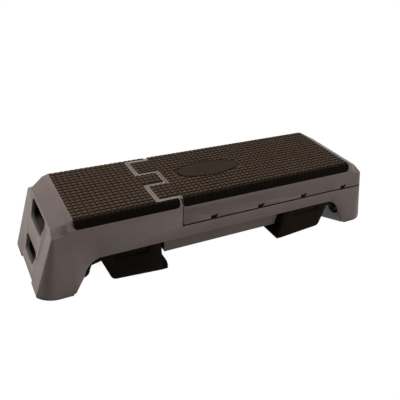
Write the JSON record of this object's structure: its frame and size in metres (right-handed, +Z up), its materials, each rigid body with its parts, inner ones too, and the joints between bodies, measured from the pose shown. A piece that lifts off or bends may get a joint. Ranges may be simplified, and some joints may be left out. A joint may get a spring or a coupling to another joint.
{
  "type": "convertible aerobic step",
  "caption": "Low exercise step with a studded rubber tread, a tilting backrest on an interlocking hinge with a propped rack, and fold-out legs that raise it into a bench.",
  "frame": {"origin": "on the floor under the middle of the step, between its four corner feet", "axes": "+X along the length towards the backrest's free end, +Y across to the far side, +Z up"},
  "size_m": [1.1, 0.311, 0.216],
  "materials": {
    "grey_shell": "fine moulded grain",
    "mat_rubber": "studded tread",
    "black_plastic": "satin moulded",
    "pad_rubber": "matte",
    "steel": "zinc plated",
    "nylon": "natural"
  },
  "bodies": {
    "base": {"base_shell": "grey_shell", "seat_mat": "mat_rubber", "belly_pan": "grey_shell", "belly_pan_screws": "steel", "left_near_foot_pad": "pad_rubber", "left_far_foot_pad": "pad_rubber", "right_near_foot_pad": "pad_rubber", "right_far_foot_pad": "pad_rubber", "hinge_rod": "steel", "prop_rack_near": "black_plastic", "prop_rack_far": "black_plastic", "rack_screws": "steel", "left_leg_axle": "steel", "right_leg_axle": "steel"},
    "backrest": {"backrest_shell": "grey_shell", "backrest_mat": "mat_rubber", "prop_bracket_near": "steel", "prop_bracket_far": "steel", "bracket_screws": "steel", "prop_pivot_rod": "steel"},
    "prop": {"prop_frame": "steel"},
    "left_leg": {"left_leg_tray": "black_plastic", "left_leg_foot": "pad_rubber", "left_leg_bushes": "nylon"},
    "right_leg": {"right_leg_tray": "black_plastic", "right_leg_foot": "pad_rubber", "right_leg_bushes": "nylon"}
  },
  "joints": [
    {"name": "backrest_tilt", "type": "hinge", "parent": "base", "child": "backrest", "pos_m": [-0.18, 0, 0.196], "axis": [0, -1, 0], "range_deg": [0, 65]},
    {"name": "prop_swing", "type": "hinge", "parent": "backrest", "child": "prop", "pos_m": [0.06863, 0, 0.16987], "axis": [0, -1, 0], "range_deg": [-130, 0]},
    {"name": "left_leg_fold", "type": "hinge", "parent": "base", "child": "left_leg", "pos_m": [-0.43, 0, 0.054], "axis": [0, 1, 0], "range_deg": [0, 90]},
    {"name": "right_leg_fold", "type": "hinge", "parent": "base", "child": "right_leg", "pos_m": [0.43, 0, 0.054], "axis": [0, -1, 0], "range_deg": [0, 90]}
  ],
  "couplings": [
    {"joint": "prop_swing", "follows": "backrest_tilt", "ratio": -2}
  ]
}
